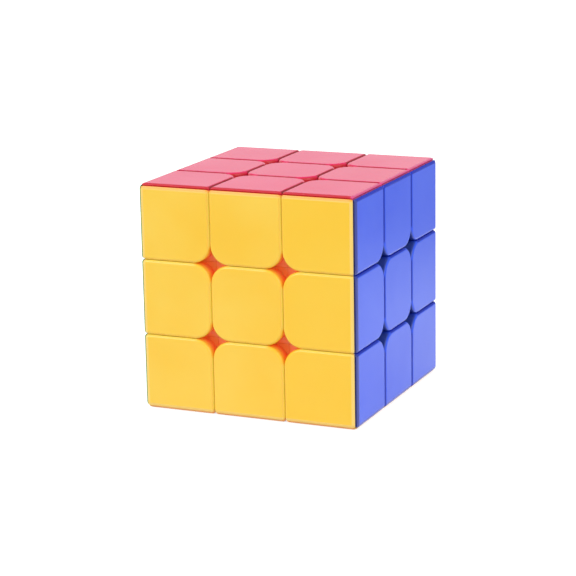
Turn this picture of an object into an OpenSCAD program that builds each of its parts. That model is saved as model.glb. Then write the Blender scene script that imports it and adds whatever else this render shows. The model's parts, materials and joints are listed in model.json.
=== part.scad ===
// Twisty puzzle cube, three layers each way, in solid coloured plastic.
// Six centres turn on a spider core. Edges hook under the centres, and corners hook under the edges,
// with feet that run in round tracks, so any face turns freely about its own axis.
// The cube rests on its bottom face at z = 0 and its middle is at z = cube_side / 2.
// The top face looks along +Z, the front face along -Y and the right face along +X.

/* [Cube] */
// Edge length of the whole cube
cube_side = 56; // [52:0.5:64]
// Running gap between pieces that turn past each other
piece_gap = 0.3; // [0.2:0.05:0.5]
// Radius of a tile's corners where four tiles meet
tile_corner_r = 4.6; // [3:0.1:6]
// Chamfer round each tile, along the cuts
tile_chamfer = 0.3; // [0.2:0.05:0.6]
// Chamfer along the twelve outer edges of the cube
edge_chamfer = 0.65; // [0.4:0.05:1]

/* [Coloured shells] */
// Wall of the hollow edges, corners and centres
shell_wall = 1.6; // [1.2:0.1:2]
// Radius of the pegs that join the shells of one piece
peg_r = 0.6; // [0.4:0.05:0.8]
// How far a peg reaches into the neighbouring shell
peg_reach = 1.5; // [1:0.1:1.8]
// Glue gap round a peg, round a cap's plug and under a cap's rim
fit_gap = 0.05; // [0.03:0.01:0.1]

/* [Turning mechanism] */
// Thickness of the feet that hook a piece under its neighbours
foot_t = 2.3; // [1.8:0.1:2.8]
// How far the feet reach past the inner corner of their own piece
foot_reach = 3.8; // [3:0.1:4.6]

/* [Centres] */
// Height of a centre cap's rim, from the tile face down to the seam, and depth of the pockets between the tiles
cap_h = 3.6; // [3:0.1:4.5]
// Thickness of a centre cap under its tile
cap_t = 1.6; // [1.2:0.1:2]
// How far a cap's plug reaches down into the centre base
plug_h = 2; // [1.5:0.1:2.5]
// Wall of a cap's plug
plug_wall = 1.2; // [0.8:0.1:1.6]
// Thickness of the floor that a spring presses on
floor_t = 1.5; // [1:0.1:2]

/* [Core, screws and springs] */
// Radius of the core's arms
arm_r = 3.4; // [2.8:0.1:4]
// How far an arm reaches past the level of the feet
arm_reach = 2; // [1.5:0.1:2.5]
// Radial and end clearance where a centre turns on its arm
bearing_gap = 0.1; // [0.05:0.01:0.15]
// Radius of the screws' threaded shank
screw_r = 1.4; // [1.2:0.05:1.6]
// How far a screw's thread bites into the wall of its pilot hole
thread_bite = 0.15; // [0.1:0.05:0.2]
// Length of a screw below its head
screw_length = 13.5; // [12:0.5:14]
// Length of a screw's pointed end
screw_point = 1.1; // [0.8:0.1:1.2]
// Radius of a screw's head
head_r = 2.8; // [2.5:0.1:3]
// Height of a screw's head
head_h = 2; // [1.6:0.1:2.4]
// Radius of a washer
washer_r = 3.2; // [3:0.1:3.6]
// Thickness of a washer
washer_t = 0.5; // [0.4:0.1:0.8]
// Mean radius of a spring's coils
coil_r = 2.4; // [2.2:0.1:2.6]
// Radius of a spring's wire
wire_r = 0.3; // [0.2:0.05:0.35]
// Length of a spring as fitted
spring_length = 5; // [4.5:0.1:5.5]
// Turns of a spring
spring_turns = 5; // [4:1:7]

/* [Hidden] */
$fn = 64;
half = cube_side / 2;
cut = cube_side / 6;                    // distance of each layer's cut from the middle of the cube
clear = piece_gap / 2;                  // what each side stands back from a cut
foot_level = cut - foot_t;              // inner face of the feet
track_r = cut * sqrt(2) + foot_reach;   // round track that the feet run in
near = cut + clear;                     // inner face of an edge or corner block
side = cut - clear;                     // half the width of a centre or an edge
stem_r = foot_level - clear;            // a centre's stem passes between four feet
arm_end = foot_level + arm_reach;
floor_z = arm_end + bearing_gap;        // underside of a centre's floor
spring_z = floor_z + floor_t;
washer_z = spring_z + spring_length;
head_z = washer_z + washer_t;
seam_z = half - cap_h;                  // seam between a centre's cap and its base
deck_z = track_r + clear + shell_wall;  // floor of the hollow in a centre's base
tip_z = head_z - screw_length;          // tip of a screw
pilot_r = screw_r - thread_bite;
pilot_end = 0.4;                        // free depth left under a screw's tip
big = 2 * cube_side;                    // longer than anything it cuts
spring_seat = 0.05;                     // free space at each end of a spring
coil_steps = 12;                        // facets in one turn of a spring
wire_sides = 6;                         // facets round a spring's wire

// Each face: its name, its colour's name, its colour, the turn that brings +Z to it,
// and the faces beside it, starting with the one that local -Y points to and going on towards local +X.
FACES = [
    ["top", "red", [0.85, 0.09, 0.16], [0, 0, 0], ["front", "right", "back", "left"]],
    ["bottom", "orange", [0.98, 0.35, 0.05], [180, 0, 0], ["back", "right", "front", "left"]],
    ["front", "yellow", [0.98, 0.78, 0.12], [90, 0, 0], ["bottom", "right", "top", "left"]],
    ["back", "white", [0.93, 0.93, 0.91], [-90, 0, 0], ["top", "right", "bottom", "left"]],
    ["right", "blue", [0.18, 0.27, 0.85], [0, 90, 0], ["front", "bottom", "back", "top"]],
    ["left", "green", [0.10, 0.62, 0.25], [0, -90, 0], ["front", "top", "back", "bottom"]]
];

function face_name(face) = face[0];
function colour_name(face) = face[1];
function face_colour(face) = face[2];
function face_turn(face) = face[3];
function beside(face, turn) = face[4][turn % 4];
function ordered(names) = [for (face = FACES, name = names) if (face_name(face) == name) name];
function joined(names, i = 0) = i == len(names) ? "" : str("_", names[i], joined(names, i + 1));
function shell_node(kind, face, others) =
    str(kind, joined(ordered(concat([face_name(face)], others))), "_", colour_name(face));
function centre_node(face) = shell_node("centre", face, []);
function edge_node(face, turn) = shell_node("edge", face, [beside(face, turn + 2)]);
function corner_node(face, turn) = shell_node("corner", face, [beside(face, turn + 1), beside(face, turn + 2)]);

// ---- places ----

module on_face(face, turn = 0) {
    translate([0, 0, half]) rotate(face_turn(face)) rotate([0, 0, 90 * turn]) children();
}

module on_every_face() {
    for (face = FACES) on_face(face) children();
}

// the same thing as seen from each of the two tiles of the edge between +Y and +Z
module from_edge_tile(i) rotate(180 * i, [0, 1, 1]) children();

// the same thing as seen from each of the three tiles of the corner between +X, +Y and +Z
module from_corner_tile(i) rotate(120 * i, [1, 1, 1]) children();

// ---- zones that keep the layers apart ----

// where the feet of the layer along +Z may be: inside the round track, down to the level of the feet
module foot_zone() {
    translate([0, 0, foot_level + clear]) cylinder(r = track_r - clear, h = half);
}

// what pieces outside the layer along +Z keep out of, grown by the wall for their hollows
module layer_keepout(grow = 0) {
    translate([-big / 2, -big / 2, side - grow]) cube(big);
    translate([0, 0, foot_level - clear - grow]) cylinder(r = track_r + clear + grow, h = half);
}

// the pyramid over the +Z face, whose sides are the mitres between colours
module face_wedge() {
    outline = [[0, 0], [big, big], [-big, big]];
    intersection() {
        rotate([90, 0, 0]) linear_extrude(2 * big, center = true) polygon(outline);
        rotate([90, 0, 90]) linear_extrude(2 * big, center = true) polygon(outline);
    }
}

// ---- tiles ----

// a bar along Y under a tile, chamfered along both top edges
module tile_bar(x0, x1, y0, y1, top, chamfer) {
    shoulder = top - chamfer;
    outline = [[x0, 0], [x1, 0], [x1, shoulder], [x1 - chamfer, top], [x0 + chamfer, top], [x0, shoulder]];
    translate([0, y1, 0]) rotate([90, 0, 0]) linear_extrude(y1 - y0) polygon(outline);
}

// a round post under a tile's corner, with the same chamfer
module tile_post(x, y, r, top, chamfer) {
    translate([x, y, 0]) rotate_extrude()
        polygon([[0, 0], [r, 0], [r, top - chamfer], [r - chamfer, top], [0, top]]);
}

// the column under a centre's tile
module centre_column(inset = 0, top = half, chamfer = tile_chamfer) {
    s = side - inset;
    r = tile_corner_r - inset;
    for (turn = [0:3]) rotate([0, 0, 90 * turn]) {
        tile_bar(-r, s, r - s, s - r, top, chamfer);
        tile_post(s - r, s - r, r, top, chamfer);
    }
}

// the column under the tile of the edge between +Y and +Z
module edge_column(inset = 0, top = half, chamfer = tile_chamfer) {
    s = side - inset;
    r = tile_corner_r - inset;
    y0 = near + inset;
    y1 = half - inset;
    tile_bar(-s, s, y0 + r, y1, top, chamfer);
    rotate([0, 0, 90]) tile_bar(y0, y1, r - s, s - r, top, chamfer);
    for (x = [r - s, s - r]) tile_post(x, y0 + r, r, top, chamfer);
}

// the column under the tile of the corner between +X, +Y and +Z
module corner_column(inset = 0, top = half, chamfer = tile_chamfer) {
    r = tile_corner_r - inset;
    s0 = near + inset;
    s1 = half - inset;
    tile_bar(s0, s1, s0 + r, s1, top, chamfer);
    translate([s0 + r, 0, 0]) rotate([0, 0, 90]) tile_bar(s0, s1, s0 + r - s1, 0, top, chamfer);
    tile_post(s0 + r, s0 + r, r, top, chamfer);
}

// all that lies under the chamfer of the cube's outer edge between +Y and +Z
module under_outer_edge() {
    low = half - edge_chamfer;
    rotate([90, 0, 90]) linear_extrude(big, center = true)
        polygon([[0, 0], [half, 0], [half, low], [low, half], [0, half]]);
}

// ---- pegs ----

// a peg that stands in one shell, below z = 0, and reaches up into the next
module peg(r, reach) {
    translate([0, 0, -peg_reach]) cylinder(r = r, h = peg_reach + reach);
}

// a peg across the mitre between +Y and +Z, from the +Z side into the +Y side
module edge_peg(x, level, r, reach) {
    translate([x, level, level]) rotate([-135, 0, 0]) peg(r, reach);
}

// a peg across the mitre between +X and +Z, from the +Z side into the +X side
module corner_peg(level, depth, r, reach) {
    translate([level, depth, level]) rotate([0, 135, 0]) peg(r, reach);
}

// ---- edges ----

// the block of the edge between +Y and +Z, shrunk on all sides by the inset for its hollow
module edge_block(inset = 0, chamfer = tile_chamfer) {
    intersection_for(i = [0:1]) from_edge_tile(i) intersection() {
        edge_column(inset, half - inset, chamfer);
        translate([-big / 2, -big / 2, near + inset]) cube(big);
    }
}

// the whole of that edge: the hollow block, square below the level of the centres' seams so that the pockets
// between the tiles have a floor, and the foot that hooks under the two centres
module edge_body() {
    difference() {
        union() {
            intersection() {
                edge_block();
                under_outer_edge();
            }
            translate([-side, near, near]) cube([2 * side, seam_z - near, seam_z - near]);
            intersection_for(i = [0:1]) from_edge_tile(i) foot_zone();
        }
        for (side_turn = [90, -90]) rotate([0, side_turn, 0]) layer_keepout();
        difference() {
            edge_block(shell_wall, 0);
            for (side_turn = [90, -90]) rotate([0, side_turn, 0]) layer_keepout(shell_wall);
        }
    }
}

// the coloured half of that edge under its +Z tile
module edge_shell() {
    level = (foot_level + near + shell_wall) / 2;
    x = foot_level / 2;
    difference() {
        union() {
            intersection() {
                edge_body();
                face_wedge();
            }
            edge_peg(x, level, peg_r, peg_reach);
        }
        from_edge_tile(1) edge_peg(x, level, peg_r + fit_gap, peg_reach + fit_gap);
    }
}

// ---- corners ----

// the block of the corner between +X, +Y and +Z, shrunk on all sides by the inset for its hollow
module corner_block(inset = 0, chamfer = tile_chamfer) {
    intersection_for(i = [0:2]) from_corner_tile(i) intersection() {
        corner_column(inset, half - inset, chamfer);
        translate([-big / 2, -big / 2, near + inset]) cube(big);
    }
}

// the whole of that corner: the hollow block, square below the same level, and the foot that hooks under the
// three edges
module corner_body() {
    difference() {
        union() {
            intersection() {
                corner_block();
                intersection_for(i = [0:2]) from_corner_tile(i) under_outer_edge();
            }
            translate([near, near, near]) cube(seam_z - near);
            intersection_for(i = [0:2]) from_corner_tile(i) foot_zone();
        }
        corner_block(shell_wall, 0);
    }
}

// the coloured third of that corner under its +Z tile
module corner_shell() {
    level = near + foot_t / 2;
    depth = (foot_level + near) / 2;
    difference() {
        union() {
            intersection() {
                corner_body();
                face_wedge();
            }
            corner_peg(level, depth, peg_r, peg_reach);
        }
        from_corner_tile(2) corner_peg(level, depth, peg_r + fit_gap, peg_reach + fit_gap);
    }
}

// ---- centres ----

// the base of the +Z centre: a stem that turns on the core's arm, and the open box that the cap closes
module centre_base() {
    shoulder_z = track_r * cos(45);
    difference() {
        union() {
            translate([0, 0, foot_level + clear]) cylinder(r = stem_r, h = deck_z - foot_level - clear);
            translate([-side, -side, shoulder_z]) cube([2 * side, 2 * side, seam_z - shoulder_z]);
        }
        for (turn = [0:3]) rotate([0, 0, 90 * turn]) rotate([90, 0, 0]) layer_keepout();
        cylinder(r = arm_r + bearing_gap, h = floor_z);
        cylinder(r = screw_r + bearing_gap, h = half);
        translate([0, 0, spring_z]) cylinder(r = stem_r - shell_wall, h = half);
        translate([0, 0, deck_z]) centre_column_from(half, shell_wall);
    }
}

// a centre's column cut off level at its foot, h high and inset from the sides
module centre_column_from(h, inset = 0) {
    centre_column(inset, h, 0);
}

// the cap of the +Z centre, with the plug that fits into the base
module centre_cap() {
    plug_inset = shell_wall + fit_gap;
    difference() {
        union() {
            intersection() {
                centre_column();
                translate([-big / 2, -big / 2, seam_z + fit_gap]) cube(big);
            }
            translate([0, 0, seam_z - plug_h]) centre_column_from(plug_h + cap_t / 2, plug_inset);
        }
        translate([0, 0, seam_z - plug_h - cap_t]) centre_column_from(plug_h + cap_h, plug_inset + plug_wall);
    }
}

// ---- core, screws, washers and springs ----

module core_spider() {
    color("white") translate([0, 0, half]) difference() {
        union() {
            sphere(r = stem_r);
            for (face = FACES) rotate(face_turn(face)) cylinder(r = arm_r, h = arm_end);
        }
        for (face = FACES) rotate(face_turn(face))
            translate([0, 0, tip_z - pilot_end]) pointed_rod(pilot_r, half);
    }
}

// a rod pointed at its foot: the shank of a screw, or the pilot hole that is drilled for it
module pointed_rod(r, h) {
    cylinder(r1 = r - screw_point, r2 = r, h = screw_point);
    translate([0, 0, screw_point]) cylinder(r = r, h = h - screw_point);
}

module screw() {
    slot_w = head_r / 4;
    slot_l = head_r * 1.3;
    slot_d = head_h * 0.6;
    difference() {
        union() {
            translate([0, 0, tip_z]) pointed_rod(screw_r, screw_length);
            translate([0, 0, head_z]) cylinder(r = head_r, h = head_h);
        }
        for (turn = [0, 90]) rotate([0, 0, turn])
            translate([-slot_l / 2, -slot_w / 2, head_z + head_h - slot_d]) cube([slot_l, slot_w, head_h]);
    }
}

module washer() {
    translate([0, 0, washer_z]) difference() {
        cylinder(r = washer_r, h = washer_t);
        translate([0, 0, -washer_t]) cylinder(r = screw_r + bearing_gap, h = 3 * washer_t);
    }
}

// a point on the wire's skin: ring i along the coil, point j round the wire
function wire_point(i, j, rise) =
    let (turn = 360 * i / coil_steps, round_wire = 360 * j / wire_sides, r = coil_r + wire_r * cos(round_wire))
    [r * cos(turn), r * sin(turn), rise * i + wire_r * sin(round_wire)];

module spring() {
    rings = spring_turns * coil_steps;
    rise = (spring_length - 2 * wire_r - 2 * spring_seat) / rings;
    points = [for (i = [0:rings], j = [0:wire_sides - 1]) wire_point(i, j, rise)];
    skin = [for (i = [0:rings - 1], j = [0:wire_sides - 1])
        let (k = (j + 1) % wire_sides, a = i * wire_sides, b = a + wire_sides)
        each [[a + j, a + k, b + j], [a + k, b + k, b + j]]];
    first_end = [for (j = [wire_sides - 1:-1:0]) j];
    last_end = [for (j = [0:wire_sides - 1]) rings * wire_sides + j];
    translate([0, 0, spring_z + wire_r + spring_seat])
        polyhedron(points, concat([first_end], skin, [last_end]));
}

module tension_screws() color("silver") on_every_face() screw();
module washers() color("gold") on_every_face() washer();
module springs() color("silver") on_every_face() spring();

// ---- the parts, each drawn on its own face in that face's colour ----

core_spider();
tension_screws();
washers();
springs();
for (face = FACES) color(face_colour(face)) {
    on_face(face) {
        centre_base();
        centre_cap();
    }
    for (turn = [0:3]) {
        on_face(face, turn) edge_shell();
        on_face(face, turn) corner_shell();
    }
}
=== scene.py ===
"""A three-layer twisty puzzle cube in solid coloured plastic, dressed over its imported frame.

Each coloured shell is modelled once, as the shell under the top face, and copied to its places round the cube.
Lengths are in metres. Shells are modelled about the middle of the cube and moved up into the frame when placed.
"""
import json
from math import cos, pi, radians, sin, sqrt

import bmesh
import bpy
from mathutils import Matrix, Vector


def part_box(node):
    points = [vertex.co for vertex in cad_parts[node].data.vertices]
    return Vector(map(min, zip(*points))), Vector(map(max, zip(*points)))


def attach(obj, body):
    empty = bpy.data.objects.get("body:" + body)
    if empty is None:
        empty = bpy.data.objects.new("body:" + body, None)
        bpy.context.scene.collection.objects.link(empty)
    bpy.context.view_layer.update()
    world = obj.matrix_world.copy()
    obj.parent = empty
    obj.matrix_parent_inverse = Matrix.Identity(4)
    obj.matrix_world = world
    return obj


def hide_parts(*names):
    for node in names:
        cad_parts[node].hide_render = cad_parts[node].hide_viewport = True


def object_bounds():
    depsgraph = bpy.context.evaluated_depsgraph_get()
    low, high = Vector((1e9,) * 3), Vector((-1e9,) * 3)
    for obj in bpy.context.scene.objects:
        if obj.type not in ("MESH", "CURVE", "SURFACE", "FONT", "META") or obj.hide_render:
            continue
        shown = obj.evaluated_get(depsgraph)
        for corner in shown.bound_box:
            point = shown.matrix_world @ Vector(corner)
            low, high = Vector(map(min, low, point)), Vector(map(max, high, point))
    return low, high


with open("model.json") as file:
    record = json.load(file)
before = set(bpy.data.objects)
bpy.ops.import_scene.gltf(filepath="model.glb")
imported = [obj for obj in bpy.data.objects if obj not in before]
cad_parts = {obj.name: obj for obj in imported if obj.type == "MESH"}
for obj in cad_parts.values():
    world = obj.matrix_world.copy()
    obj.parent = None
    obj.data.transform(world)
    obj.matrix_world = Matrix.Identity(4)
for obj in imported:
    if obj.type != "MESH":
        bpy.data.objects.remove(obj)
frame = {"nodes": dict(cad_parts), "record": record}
cad_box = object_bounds()

MM = 0.001

# ---- sizes: where the shells are comes from the frame, their rounding from the real object ----

half = (cad_box[1][0] - cad_box[0][0]) / 2
middle = Vector((0, 0, half))
cut = half / 3                                    # distance of each layer's cut from the middle
tile_gap = 0.12 * MM                              # what shows between two tiles
side = cut - tile_gap / 2                         # half the width of a middle tile
near = cut + tile_gap / 2                         # inner face of an edge or corner block
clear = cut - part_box("edge_top_front_red")[1][0]  # what each moving part stands back from the next
foot_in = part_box("corner_top_front_right_red")[0][0]   # inner face of the feet
stem_r = foot_in - 2 * clear                      # a centre's stem passes between four feet
foot_reach = 3.8 * MM                             # how far the feet reach past the inner corner of their piece
track_r = cut * sqrt(2) + foot_reach              # round track that the feet run in
wall = 1.6 * MM                                   # thickness of the shells
tile_r = 4.6 * MM                                 # corners of the tiles where four meet
rim_r = 0.75 * MM                                 # rounding of the tiles along the cuts
outer_r = 1.5 * MM                                # rounding of the cube's twelve outer edges
seam_gap = 0.38 * MM                              # groove that shows where two colours meet
seam_depth = 0.6 * MM
seam_r = 0.08 * MM                                # rounding of the groove's lips
cap_seam = half - 3.6 * MM                        # where a centre's cap meets its base, and the pockets' floor
snug = 0.03 * MM                                  # what the pockets' floors stand back from each cut
cap_plug = 2.0 * MM                               # how far a cap's plug reaches into the base
plug_wall = 1.2 * MM
glue_gap = 0.05 * MM
bore_r = 3.5 * MM                                 # bore of a centre's stem, which turns on the core's arm
bore_end = 9.13 * MM                              # underside of the floor that a spring presses on
floor_top = 10.63 * MM                            # top of that floor
screw_hole_r = 1.5 * MM
beyond = 3 * half                                 # longer than anything that it cuts

tile_steps, hollow_steps = 12, 5                  # facets round a tile's corner, outside and in the hollow
rim_steps, outer_steps, lip_steps = 5, 6, 2       # facets round a rim, an outer edge and a groove's lip
rod_sides = 96
smooth_under = radians(32)                        # faces that meet at less than this are shaded as one round
same_place = 1e-6                                 # points that are closer than this are one
upright = 0.001                                   # a face that leans by less than this, of 1, looks straight aside


# ---- bench tools ----

def only(obj):
    """Selects this object alone."""
    bpy.ops.object.select_all(action="DESELECT")
    obj.select_set(True)
    bpy.context.view_layer.objects.active = obj


def add_block(low, high):
    """A block between its lowest and its highest corner."""
    low, high = Vector(low), Vector(high)
    bpy.ops.object.select_all(action="DESELECT")
    bpy.ops.mesh.primitive_cube_add(size=1, location=(low + high) / 2, scale=high - low)
    bpy.ops.object.transform_apply(location=True, rotation=True, scale=True)
    return bpy.context.object


def add_rod(radius, start, end, axis="Z"):
    """A cylinder about an axis through the middle of the cube, from start to end along that axis."""
    turn = {"X": (0, pi / 2, 0), "Y": (-pi / 2, 0, 0), "Z": (0, 0, 0)}[axis]
    place = Vector([letter == axis for letter in "XYZ"]) * (start + end) / 2
    bpy.ops.object.select_all(action="DESELECT")
    bpy.ops.mesh.primitive_cylinder_add(
        vertices=rod_sides, radius=radius, depth=abs(end - start), location=place, rotation=turn)
    bpy.ops.object.transform_apply(location=True, rotation=True, scale=True)
    return bpy.context.object


def edit_all(obj):
    """Opens this object alone for work on its edges, with all of it selected."""
    only(obj)
    bpy.context.tool_settings.mesh_select_mode = (False, True, False)
    bpy.ops.object.mode_set(mode="EDIT")
    bpy.ops.mesh.select_all(action="SELECT")


def weld(obj):
    """Merges the double points and drops the empty faces that a cut leaves."""
    edit_all(obj)
    bpy.ops.mesh.remove_doubles(threshold=same_place)
    bpy.ops.mesh.dissolve_degenerate(threshold=same_place)
    bpy.ops.object.mode_set(mode="OBJECT")


def round_off(obj, wanted, radius, steps):
    """Rounds the edges for which wanted(edge) holds."""
    edit_all(obj)
    bpy.ops.mesh.select_all(action="DESELECT")
    work = bmesh.from_edit_mesh(obj.data)
    for edge in filter(wanted, work.edges):
        edge.select_set(True)
    bmesh.update_edit_mesh(obj.data)
    bpy.ops.mesh.bevel(offset=radius, segments=steps, profile=0.5, affect="EDGES")
    bpy.ops.object.mode_set(mode="OBJECT")
    return obj


def combine(obj, operation, *others):
    """Joins, cuts or keeps what is common with the other solids, which are used up."""
    for other in others:
        step = obj.modifiers.new("combine", "BOOLEAN")
        step.operation = operation
        step.solver = "EXACT"
        step.object = other
        only(obj)
        bpy.ops.object.modifier_apply(modifier=step.name)
        bpy.data.objects.remove(other)
        weld(obj)
    return obj


def on_line(edge, **levels):
    """True if the whole edge lies at these levels, on one side of the middle or the other."""
    start, end = (v.co for v in edge.verts)
    return all(abs(getattr(start, axis) - getattr(end, axis)) < same_place
               and abs(abs(getattr(start, axis)) - level) < same_place for axis, level in levels.items())


def is_rim(edge, outward):
    """True for an edge between a face that looks outward and one that doesn't."""
    return len({outward(face.normal) for face in edge.link_faces}) == 2


def finish_shell(obj):
    """Turns all faces out, and shades the flats flat and the rounds round."""
    edit_all(obj)
    bpy.ops.mesh.normals_make_consistent(inside=False)
    bpy.ops.object.mode_set(mode="OBJECT")
    bpy.ops.object.shade_smooth_by_angle(angle=smooth_under)
    step = obj.modifiers.new("flats", "WEIGHTED_NORMAL")
    step.keep_sharp = True
    step.weight = 100
    bpy.ops.object.modifier_apply(modifier=step.name)
    return obj


# ---- zones shared by the pieces ----

def keepouts(axis, grow=0.0):
    """What a piece leaves free for the feet of the two layers beside it along this axis."""
    start = foot_in - 2 * clear - grow
    return [add_rod(track_r + clear + grow, start * end, beyond * end, axis) for end in (1, -1)]


def foot(low, high, axes):
    """A foot: a block kept inside the round tracks about these axes."""
    rods = [add_rod(track_r - clear, -beyond, beyond, axis) for axis in axes]
    return combine(add_block(low, high), "INTERSECT", *rods)


def face_wedge():
    """The pyramid over the top face, whose sides are the mitres between two colours."""
    bpy.ops.object.select_all(action="DESELECT")
    bpy.ops.mesh.primitive_cone_add(
        vertices=4, radius1=0, radius2=beyond * sqrt(2), depth=beyond,
        location=(0, 0, beyond / 2), rotation=(0, 0, pi / 4))
    bpy.ops.object.transform_apply(location=True, rotation=True, scale=True)
    return bpy.context.object


def groove_mitres(shell, axes):
    """Cuts the fine groove that shows where this shell meets the colours towards these axes, and rounds its lips."""
    floor = (half - outer_r) * sqrt(2) + outer_r - seam_depth    # its distance from the middle, along the mitre
    for axis in axes:
        reach_x, reach_y = (seam_gap / 2, beyond) if axis == "X" else (beyond, seam_gap / 2)
        slit = add_block((-reach_x, -reach_y, floor), (reach_x, reach_y, beyond))
        slit.data.transform(Matrix.Rotation(pi / 4, 4, "Y") if axis == "X" else Matrix.Rotation(-pi / 4, 4, "X"))
        combine(shell, "DIFFERENCE", slit)

    def on_lip(point, across):
        from_mitre = abs(across - point.z) / sqrt(2)
        out = (across + point.z) / sqrt(2)
        return abs(from_mitre - seam_gap / 2) < same_place and out > floor + seam_depth / 2

    def is_lip(edge):
        points = [corner.co for corner in edge.verts]
        return any(all(on_lip(point, getattr(point, axis.lower())) for point in points) for axis in axes)
    return round_off(shell, is_lip, seam_r, lip_steps)


# ---- shells, each modelled in its place under the top face ----

def corner_block(inset=0.0):
    """The block between +X, +Y and +Z, with its three inner edges rounded."""
    low, high = near + inset, half - inset
    block = add_block((low,) * 3, (high,) * 3)
    def inner(edge):
        return on_line(edge, x=low, y=low) or on_line(edge, y=low, z=low) or on_line(edge, x=low, z=low)
    return round_off(block, inner, tile_r - inset, hollow_steps if inset else tile_steps)


def corner_shell():
    """The top third of the corner between +X, +Y and +Z."""
    shell = corner_block()
    def outer(edge):
        return on_line(edge, x=half, y=half) or on_line(edge, y=half, z=half) or on_line(edge, x=half, z=half)
    round_off(shell, outer, outer_r, outer_steps)
    round_off(shell, lambda edge: is_rim(edge, lambda normal: min(normal) > -upright), rim_r, rim_steps)
    combine(shell, "UNION", add_block((cut + snug,) * 3, (cap_seam,) * 3),
            foot((foot_in,) * 3, (track_r,) * 3, "XYZ"))
    combine(shell, "DIFFERENCE", corner_block(wall))
    combine(shell, "INTERSECT", face_wedge())
    return finish_shell(groove_mitres(shell, "XY"))


def edge_block(inset=0.0):
    """The block between +Y and +Z, rounded all along where it looks at the middle of the cube."""
    across, low, high = side - inset, near + inset, half - inset
    block = add_block((-across, low, low), (across, high, high))
    def inner(edge):
        return on_line(edge, x=across, y=low) or on_line(edge, x=across, z=low) or on_line(edge, y=low, z=low)
    return round_off(block, inner, tile_r - inset, hollow_steps if inset else tile_steps)


def edge_shell():
    """The top half of the edge between +Y and +Z."""
    shell = edge_block()
    def outward(normal):
        return abs(normal.x) < upright and normal.y > -upright and normal.z > -upright
    round_off(shell, lambda edge: on_line(edge, y=half, z=half), outer_r, outer_steps)
    round_off(shell, lambda edge: is_rim(edge, outward), rim_r, rim_steps)
    combine(shell, "UNION", add_block((snug - cut, cut + snug, cut + snug), (cut - snug, cap_seam, cap_seam)),
            foot((-stem_r, foot_in, foot_in), (stem_r, track_r, track_r), "YZ"))
    combine(shell, "DIFFERENCE", *keepouts("X"))
    combine(shell, "DIFFERENCE", combine(edge_block(wall), "DIFFERENCE", *keepouts("X", wall)))
    combine(shell, "INTERSECT", face_wedge())
    return finish_shell(groove_mitres(shell, "Y"))


def centre_column(low, high, inset=0.0):
    """The column under a centre's tile, with its four upright edges rounded."""
    across = side - inset
    column = add_block((-across, -across, low), (across, across, high))
    return round_off(column, lambda edge: on_line(edge, x=across, y=across), tile_r - inset,
                     hollow_steps if inset else tile_steps)


def centre_cap():
    """The tile of a centre, with the hollow plug that holds it in its base."""
    cap = centre_column(cap_seam + glue_gap, half)
    round_off(cap, lambda edge: on_line(edge, z=half), rim_r, rim_steps)
    inset = wall + glue_gap
    combine(cap, "UNION", centre_column(cap_seam - cap_plug, half - wall / 2, inset))
    combine(cap, "DIFFERENCE", centre_column(cap_seam - 2 * cap_plug, half - wall, inset + plug_wall))
    return finish_shell(cap)


def centre_base():
    """The stem that turns on its arm, and the open box above it that the cap closes."""
    deck = track_r + clear + wall
    base = add_block((snug - cut, snug - cut, foot_in), (cut - snug, cut - snug, cap_seam))
    combine(base, "DIFFERENCE", *keepouts("X"), *keepouts("Y"))
    combine(base, "DIFFERENCE", add_rod(bore_r, 0, bore_end), add_rod(screw_hole_r, 0, half),
            add_rod(stem_r - wall, floor_top, half), centre_column(deck, half, wall))
    return finish_shell(base)


# ---- finishes ----

def new_material(name):
    """A material with a shader and nothing else, its nodes and its shader."""
    material = bpy.data.materials.new(name)
    material.use_nodes = True
    tree = material.node_tree
    tree.nodes.clear()
    output = tree.nodes.new("ShaderNodeOutputMaterial")
    shader = tree.nodes.new("ShaderNodeBsdfPrincipled")
    tree.links.new(shader.outputs["BSDF"], output.inputs["Surface"])
    return material, tree, shader


def noise(tree, scale, detail, distortion=0.0):
    """Clouds on the piece, about scale of them to a metre."""
    place = tree.nodes.new("ShaderNodeTexCoord")
    texture = tree.nodes.new("ShaderNodeTexNoise")
    texture.inputs["Scale"].default_value = scale
    texture.inputs["Detail"].default_value = detail
    texture.inputs["Distortion"].default_value = distortion
    tree.links.new(place.outputs["Object"], texture.inputs["Vector"])
    return texture.outputs["Fac"]


def spread(tree, value, low, high):
    """Stretches the middle of a noise's range over low to high."""
    ramp = tree.nodes.new("ShaderNodeMapRange")
    ramp.inputs["From Min"].default_value = 0.3
    ramp.inputs["From Max"].default_value = 0.7
    ramp.inputs["To Min"].default_value = low
    ramp.inputs["To Max"].default_value = high
    tree.links.new(value, ramp.inputs["Value"])
    return ramp.outputs["Result"]


def blend_colours(tree, factor, first, second):
    """Mixes from the first colour, or what a node gives for it, to the second."""
    mix = tree.nodes.new("ShaderNodeMix")
    mix.data_type = "RGBA"
    if isinstance(first, tuple):
        mix.inputs[6].default_value = (*first, 1)
    else:
        tree.links.new(first, mix.inputs[6])
    mix.inputs[7].default_value = (*second, 1)
    tree.links.new(factor, mix.inputs[0])
    return mix.outputs[2]


def work_out(tree, operation, first, second):
    """Works out one number from two, each a number or what a node gives."""
    node = tree.nodes.new("ShaderNodeMath")
    node.operation = operation
    for value, place in ((first, node.inputs[0]), (second, node.inputs[1])):
        if isinstance(value, (int, float)):
            place.default_value = value
        else:
            tree.links.new(value, place)
    return node.outputs["Value"]


def times(tree, first, second):
    return work_out(tree, "MULTIPLY", first, second)


def larger(tree, first, second):
    return work_out(tree, "MAXIMUM", first, second)


def bump(tree, shader, height, depth):
    """Raises the surface by depth where height is 1."""
    node = tree.nodes.new("ShaderNodeBump")
    node.inputs["Strength"].default_value = 1.0
    node.inputs["Distance"].default_value = depth
    tree.links.new(height, node.inputs["Height"])
    tree.links.new(node.outputs["Normal"], shader.inputs["Normal"])


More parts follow.
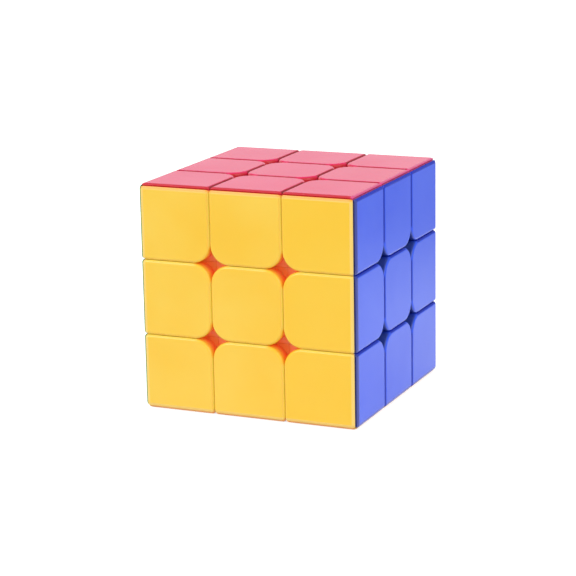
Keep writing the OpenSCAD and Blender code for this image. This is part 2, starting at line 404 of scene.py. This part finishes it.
def vector_step(tree, operation, first, second=None):
    """Works on a place or a direction that a node gives, with a fixed one where the operation takes two."""
    node = tree.nodes.new("ShaderNodeVectorMath")
    node.operation = operation
    tree.links.new(first, node.inputs[0])
    if second is not None:
        node.inputs[1].default_value = second
    return node


def fade(tree, value, start, end, first=1.0, last=0.0):
    """Goes smoothly from first, where value is at start, to last, where it is at end."""
    node = tree.nodes.new("ShaderNodeMapRange")
    node.interpolation_type = "SMOOTHSTEP"
    node.inputs["From Min"].default_value = start
    node.inputs["From Max"].default_value = end
    node.inputs["To Min"].default_value = first
    node.inputs["To Max"].default_value = last
    tree.links.new(value, node.inputs["Value"])
    return node.outputs["Result"]


def place_on_cube(tree, outward):
    """Where a spot is on the face that looks outward: its place from the middle, how far out it is, how far from the
    axis of the nearest of the four pockets where tile corners meet, and how near it is to the cube's outer edges."""
    place = tree.nodes.new("ShaderNodeTexCoord").outputs["Object"]
    from_middle = vector_step(tree, "SUBTRACT", place, middle).outputs["Vector"]
    level = vector_step(tree, "DOT_PRODUCT", from_middle, outward).outputs["Value"]
    in_plane = [1 - abs(part) for part in outward]
    apart = vector_step(tree, "ABSOLUTE", from_middle).outputs["Vector"]
    from_cuts = vector_step(tree, "SUBTRACT", apart, (cut,) * 3).outputs["Vector"]
    from_axis = vector_step(tree, "MULTIPLY", from_cuts, in_plane).outputs["Vector"]
    from_pocket = vector_step(tree, "LENGTH", from_axis).outputs["Value"]
    split = tree.nodes.new("ShaderNodeSeparateXYZ")
    tree.links.new(vector_step(tree, "MULTIPLY", apart, in_plane).outputs["Vector"], split.inputs[0])
    widest = larger(tree, larger(tree, split.outputs[0], split.outputs[1]), split.outputs[2])
    return from_middle, level, from_pocket, widest


# Where the plastic's tone changes and its painted shade and light come in, each as the two places that the change
# runs between
own_tone = (half - 6.0 * MM, half - 4.0 * MM)     # the plain colour inside, the painted shade and light below further out
pocket_round = (2.4 * MM, 4.8 * MM)               # the painted shade and bounced light of a pocket, from its axis outwards
straight_gap = (4.8 * MM, 3.6 * MM)               # along a gap, where it has left the pocket behind
# where the painted shade and light on the walls down the gaps lies
painted_gap_level = (half - 0.42 * MM, half - 0.14 * MM)
# where the painted shade on the tiles' rims lies
painted_rim_level = (half - 0.12 * MM, half - 0.01 * MM)
# where the painted light and shade on the cube's outer edges lies
painted_edge_band = (half - 1.25 * MM, half - 1.5 * MM)
painted_side_blur = 0.25 * MM                             # half the width over which a side's painted reflected light and shade fades out
layer_blur = 0.1 * MM                             # the same for the tone of the one layer that has a tone of its own
clouds, smears, ripples = 45, 60, 260             # how many of each there are to a metre


def moulded_plastic(name, outward, colour, cloud, painted_edge_shading, painted_rim_shade, painted_gap_shading, painted_pocket_shading, glow,
                    shine=0.5, sink=0.5 * MM, beside=(), layer_tone=None):
    """Solid coloured plastic off a polished mould: clouded a little by the flow of the melt, with a faint ripple
    and the smears of handling in its gloss. Outward is the way its face looks. Painted shade lies on the rims of
    the tiles, painted shade and light on the walls between them and down the pockets, and painted light and shade
    on the cube's outer edges, each as a tone of its own; a pocket's comes in over the depth sink. Beside holds the
    sides whose edge takes yet another tone, painted reflected light and shade from the colour beside: the way each
    looks, its tone and the tone's width. The last argument gives one layer, the one towards its side, a tone of its
    own: its side, its tone and how much of it shows. Glow is how far red, green and blue light travel inside the
    plastic."""
    material, tree, shader = new_material(name)
    from_middle, level, from_pocket, widest = place_on_cube(tree, outward)
    not_inside = fade(tree, level, *own_tone, 0.0, 1.0)
    away_from_pocket = fade(tree, from_pocket, *straight_gap)
    # painted shade along the tiles' rims
    painted_rim_mask = times(tree, away_from_pocket, fade(tree, level, *painted_rim_level))
    # painted shade and light on the walls down the gaps
    painted_gap_mask = times(tree, away_from_pocket, fade(tree, level, *painted_gap_level))
    # painted shade and bounced light down the pockets
    painted_pocket_mask = times(tree, fade(tree, from_pocket, *pocket_round), fade(tree, level, half - sink, half - sink / 6))
    # painted light and shade on the cube's outer edges
    painted_edge_mask = fade(tree, widest, *painted_edge_band)

    tones = blend_colours(tree, spread(tree, noise(tree, clouds, 2, 0.3), 0, 1), colour, cloud)
    # one layer, the one towards its side, takes a tone of its own
    if layer_tone:
        layer_side, layer_colour, share = layer_tone
        out = vector_step(tree, "DOT_PRODUCT", from_middle, layer_side).outputs["Value"]
        in_layer = fade(tree, out, cut - layer_blur, cut + layer_blur, 0.0, share)
        tones = blend_colours(tree, in_layer, tones, layer_colour)
    # painted shade on the rims
    tones = blend_colours(tree, painted_rim_mask, tones, painted_rim_shade)
    # painted shade and light in the gaps
    tones = blend_colours(tree, times(tree, painted_gap_mask, not_inside), tones, painted_gap_shading)
    # painted shade and bounced light in the pockets
    tones = blend_colours(tree, times(tree, painted_pocket_mask, not_inside), tones, painted_pocket_shading)
    # painted light and shade on the outer edges
    tones = blend_colours(tree, times(tree, painted_edge_mask, not_inside), tones, painted_edge_shading)
    # painted reflected light and shade at the edge beside another colour
    for side_outward, painted_side_tone, width in beside:
        out = vector_step(tree, "DOT_PRODUCT", from_middle, side_outward).outputs["Value"]
        painted_side_mask = fade(tree, out, half - width + painted_side_blur, half - width - painted_side_blur)
        tones = blend_colours(tree, times(tree, painted_side_mask, not_inside), tones, painted_side_tone)
    tree.links.new(tones, shader.inputs["Base Color"])

    shader.inputs["Specular IOR Level"].default_value = shine
    tree.links.new(spread(tree, noise(tree, smears, 1), 0.20, 0.24), shader.inputs["Roughness"])
    bump(tree, shader, noise(tree, ripples, 2), 0.003 * MM)
    shader.inputs["IOR"].default_value = 1.45
    shader.inputs["Subsurface Weight"].default_value = 0.12
    shader.inputs["Subsurface Radius"].default_value = glow
    shader.inputs["Subsurface Scale"].default_value = 0.6 * MM
    return material


# Each plastic's rim, gap, pocket and edge tones, and its tones beside another colour, are painted shade and light;
# its colour and cloud are its own
plastics = {
    "red": moulded_plastic(
        "red_plastic", (0, 0, 1), colour=(0.87, 0.028, 0.163), cloud=(0.83, 0.019, 0.137),
        painted_edge_shading=(0.66, 0.035, 0.06), painted_rim_shade=(0.46, 0.018, 0.036), painted_gap_shading=(0.34, 0.015, 0.025),
        painted_pocket_shading=(0.68, 0.040, 0.058), glow=(2.0, 0.3, 0.3), shine=0.42, sink=0.3 * MM,
        beside=[((1, 0, 0), (0.80, 0.09, 0.26), 1.4 * MM)]),
    "orange": moulded_plastic(
        "orange_plastic", (0, 0, -1), colour=(0.96, 0.16, 0.012), cloud=(0.95, 0.15, 0.010),
        painted_edge_shading=(1.0, 0.55, 0.18), painted_rim_shade=(0.80, 0.12, 0.01), painted_gap_shading=(0.45, 0.08, 0.02),
        painted_pocket_shading=(0.90, 0.06, 0.008), glow=(2.2, 0.6, 0.1)),
    "yellow": moulded_plastic(
        "yellow_plastic", (0, -1, 0), colour=(0.99, 0.655, 0.082), cloud=(0.985, 0.598, 0.046),
        painted_edge_shading=(1.0, 0.68, 0.17), painted_rim_shade=(0.98, 0.60, 0.07), painted_gap_shading=(0.99, 0.82, 0.16),
        painted_pocket_shading=(1.0, 0.29, 0.07), glow=(2.5, 1.2, 0.2), sink=3.0 * MM,
        beside=[((0, 0, 1), (1.0, 0.44, 0.07), 1.1 * MM)], layer_tone=((1, 0, 0), (0.99, 0.60, 0.030), 0.6)),
    "white": moulded_plastic(
        "white_plastic", (0, 1, 0), colour=(0.88, 0.88, 0.86), cloud=(0.87, 0.87, 0.85),
        painted_edge_shading=(0.78, 0.78, 0.76), painted_rim_shade=(0.80, 0.80, 0.78), painted_gap_shading=(0.72, 0.72, 0.69),
        painted_pocket_shading=(0.78, 0.77, 0.73), glow=(1.6, 1.6, 1.5)),
    "blue": moulded_plastic(
        "blue_plastic", (1, 0, 0), colour=(0.038, 0.128, 0.99), cloud=(0.020, 0.098, 0.95),
        painted_edge_shading=(0.012, 0.043, 0.58), painted_rim_shade=(0.012, 0.045, 0.54), painted_gap_shading=(0.010, 0.032, 0.50),
        painted_pocket_shading=(0.04, 0.075, 0.38), glow=(0.2, 0.3, 1.6), shine=0.54,
        beside=[((0, -1, 0), (0.05, 0.072, 0.38), 1.5 * MM)]),
    "green": moulded_plastic(
        "green_plastic", (-1, 0, 0), colour=(0.02, 0.42, 0.07), cloud=(0.018, 0.41, 0.065),
        painted_edge_shading=(0.02, 0.33, 0.06), painted_rim_shade=(0.015, 0.30, 0.05), painted_gap_shading=(0.010, 0.18, 0.03),
        painted_pocket_shading=(0.01, 0.20, 0.035), glow=(0.2, 1.4, 0.3)),
}


def satin_plastic(name, colour, cloud):
    """Plain plastic off a fine-sanded mould, as the hidden core is made of."""
    material, tree, shader = new_material(name)
    tree.links.new(blend_colours(tree, spread(tree, noise(tree, 120, 2, 0.3), 0, 1), colour, cloud),
                   shader.inputs["Base Color"])
    tree.links.new(spread(tree, noise(tree, 300, 2), 0.38, 0.50), shader.inputs["Roughness"])
    bump(tree, shader, noise(tree, 2500, 2), 0.004 * MM)
    shader.inputs["IOR"].default_value = 1.5
    shader.inputs["Subsurface Weight"].default_value = 0.1
    shader.inputs["Subsurface Radius"].default_value = (1.6, 1.6, 1.5)
    shader.inputs["Subsurface Scale"].default_value = 0.6 * MM
    return material


def bare_metal(name, colour, stain, marks, smooth, rough):
    """Plain metal with faint stains and the fine marks of its making, about so many of them to a metre. Its gloss
    runs from smooth to rough."""
    material, tree, shader = new_material(name)
    tree.links.new(blend_colours(tree, spread(tree, noise(tree, 500, 3, 0.5), 0, 1), colour, stain),
                   shader.inputs["Base Color"])
    shader.inputs["Metallic"].default_value = 1.0
    tree.links.new(spread(tree, noise(tree, marks / 4, 3), smooth, rough), shader.inputs["Roughness"])
    bump(tree, shader, noise(tree, marks, 2), 0.004 * MM)
    return material


inner_finishes = {
    "core_spider": satin_plastic("core_plastic", (0.78, 0.78, 0.75), (0.72, 0.72, 0.68)),
    "tension_screws": bare_metal("screw_steel", (0.62, 0.63, 0.65), (0.50, 0.50, 0.51), 3500, 0.20, 0.32),
    "springs": bare_metal("spring_steel", (0.56, 0.56, 0.57), (0.44, 0.43, 0.42), 5000, 0.24, 0.38),
    "washers": bare_metal("washer_brass", (0.80, 0.60, 0.27), (0.66, 0.46, 0.18), 4000, 0.22, 0.36),
}
for node, finish in inner_finishes.items():
    for slot in frame["nodes"][node].material_slots:
        slot.material = finish


# ---- putting the shells in their places ----

FACES = {   # each face: its colour, the turn that brings +Z to it, the faces at its local -Y, +X, +Y and -X
    "top": ("red", (0, 0, 0), ("front", "right", "back", "left")),
    "bottom": ("orange", (pi, 0, 0), ("back", "right", "front", "left")),
    "front": ("yellow", (pi / 2, 0, 0), ("bottom", "right", "top", "left")),
    "back": ("white", (-pi / 2, 0, 0), ("top", "right", "bottom", "left")),
    "right": ("blue", (0, pi / 2, 0), ("front", "bottom", "back", "top")),
    "left": ("green", (0, -pi / 2, 0), ("front", "top", "back", "bottom")),
}
body_of_node = {node: body for body, nodes in frame["record"]["behaviour"]["bodies"].items() for node in nodes}


def named(kind, *faces):
    """A piece's name, with its faces in the order that all the names keep."""
    return "_".join([kind] + [face for face in FACES if face in faces])


def place_shell(prototype, face, quarter, node, name):
    """Copies a shell to a face, a number of quarter turns round it, and lets it stand for that CAD node."""
    colour, turn, _ = FACES[face]
    shell = prototype.copy()
    shell.data = prototype.data.copy()
    shell.name = shell.data.name = name
    bpy.context.collection.objects.link(shell)
    tilt = Matrix.Rotation(turn[0], 4, "X") @ Matrix.Rotation(turn[1], 4, "Y")
    shell.data.transform(Matrix.Translation(middle) @ tilt @ Matrix.Rotation(quarter * pi / 2, 4, "Z"))
    shell.data.materials.append(plastics[colour])
    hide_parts(node)
    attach(shell, body_of_node[node])


prototypes = {"corner": corner_shell(), "edge": edge_shell(), "cap": centre_cap(), "base": centre_base()}
for face, (colour, _, beside) in FACES.items():
    centre = f"{named('centre', face)}_{colour}"
    place_shell(prototypes["cap"], face, 0, centre, f"cap_{face}_{colour}")
    place_shell(prototypes["base"], face, 0, centre, f"base_{face}_{colour}")
    for quarter in range(4):
        edge = f"{named('edge', face, beside[(quarter + 2) % 4])}_{colour}"
        place_shell(prototypes["edge"], face, quarter, edge, edge.replace("edge", "edge_shell"))
        corner = f"{named('corner', face, beside[(quarter + 1) % 4], beside[(quarter + 2) % 4])}_{colour}"
        place_shell(prototypes["corner"], face, quarter, corner, corner.replace("corner", "corner_shell"))
for prototype in prototypes.values():
    bpy.data.objects.remove(prototype)


# ---- floor, light and camera ----

def make_floor():
    """A pale table. The camera sees it white; a shiny surface sees it white near the cube and duller away from it."""
    bpy.ops.object.select_all(action="DESELECT")
    bpy.ops.mesh.primitive_plane_add(size=12, location=(0, 0, 0))
    floor = bpy.context.object
    floor.name = "floor"
    material, tree, shader = new_material("pale_floor")
    shader.inputs["Base Color"].default_value = (0.62, 0.62, 0.62, 1)
    shader.inputs["Roughness"].default_value = 0.9
    shader.inputs["Specular IOR Level"].default_value = 0.0
    shader.inputs["Emission Color"].default_value = (1, 1, 1, 1)
    lift = 0.72                        # what whitens the lit floor for the camera
    near_white, white_until, dark_from = 0.8, 0.05, 0.25
    rays = tree.nodes.new("ShaderNodeLightPath").outputs
    place = tree.nodes.new("ShaderNodeTexCoord").outputs["Object"]
    away = vector_step(tree, "LENGTH", place).outputs["Value"]
    mirrored = times(tree, rays["Is Glossy Ray"], fade(tree, away, white_until, dark_from, near_white, 0.0))
    seen = times(tree, larger(tree, rays["Is Camera Ray"], rays["Is Transmission Ray"]), lift)
    tree.links.new(larger(tree, seen, mirrored), shader.inputs["Emission Strength"])
    floor.data.materials.append(material)


def make_world():
    """White to the camera and to glass, and an even light. A mirror shows a dim room with a low lit backdrop behind
    the cube's left side."""
    even_light, dim_room, lit_backdrop = 0.72, 0.25, 1.0
    backdrop_foot, backdrop_top, backdrop_end = (0.10, 0.02), (0.30, 0.42), (-0.15, 0.0)    # parts of a direction
    world = bpy.data.worlds.new("studio")
    bpy.context.scene.world = world
    world.use_nodes = True
    tree = world.node_tree
    tree.nodes.clear()
    output = tree.nodes.new("ShaderNodeOutputWorld")
    background = tree.nodes.new("ShaderNodeBackground")
    background.inputs["Color"].default_value = (1, 1, 1, 1)
    rays = tree.nodes.new("ShaderNodeLightPath").outputs
    split = tree.nodes.new("ShaderNodeSeparateXYZ")
    tree.links.new(tree.nodes.new("ShaderNodeTexCoord").outputs["Generated"], split.inputs[0])
    across, _, up = split.outputs
    backdrop = times(tree, fade(tree, up, *backdrop_top), fade(tree, across, *backdrop_end))
    backdrop = times(tree, backdrop, fade(tree, up, *backdrop_foot))
    mirrored = work_out(tree, "ADD", times(tree, backdrop, lit_backdrop - dim_room), dim_room)
    in_mirrors = times(tree, rays["Is Glossy Ray"], work_out(tree, "SUBTRACT", mirrored, even_light))
    light = work_out(tree, "ADD", even_light, in_mirrors)
    seen = larger(tree, rays["Is Camera Ray"], rays["Is Transmission Ray"])
    tree.links.new(larger(tree, seen, light), background.inputs["Strength"])
    tree.links.new(background.outputs["Background"], output.inputs["Surface"])


def add_softbox(name, place, size, watts):
    """A square lamp turned to the cube."""
    lamp = bpy.data.lights.new(name, "AREA")
    lamp.shape = "SQUARE"
    lamp.size = size
    lamp.energy = watts
    box = bpy.data.objects.new(name, lamp)
    bpy.context.collection.objects.link(box)
    box.location = place
    box.rotation_euler = (middle - Vector(place)).to_track_quat("-Z", "Y").to_euler()


def make_camera():
    """Looks down at the corner between the front, the top and the right face, from half a metre."""
    azimuth, elevation, roll = radians(23.96), radians(13.67), radians(-1.075)
    distance, left_of_middle, below_middle = 503.6 * MM, 1.35 * MM, 1.91 * MM
    forward = Vector((-sin(azimuth) * cos(elevation), cos(azimuth) * cos(elevation), -sin(elevation)))
    across = forward.cross(Vector((0, 0, 1))).normalized()
    upward = across.cross(forward)
    right = across * cos(roll) + upward * sin(roll)
    up = upward * cos(roll) - across * sin(roll)
    target = middle - left_of_middle * right - below_middle * up
    place = target - distance * forward
    data = bpy.data.cameras.new("camera")
    data.lens = 126.3
    data.sensor_width = 36
    camera = bpy.data.objects.new("camera", data)
    bpy.context.collection.objects.link(camera)
    turn = Matrix((right, up, -forward)).transposed().to_4x4()
    camera.matrix_world = Matrix.Translation(place) @ turn
    bpy.context.scene.camera = camera


make_floor()
make_world()
add_softbox("key_softbox", (-0.8, -0.9, 1.0), 0.8, 9.5)
add_softbox("fill_softbox", (1.1, -0.5, 0.6), 0.9, 5.0)
make_camera()
bpy.context.scene.view_settings.view_transform = "Standard"
bpy.context.scene.cycles.diffuse_bounces = 24     # light finds its way down the gaps between bright tiles
bpy.context.scene.cycles.max_bounces = 32
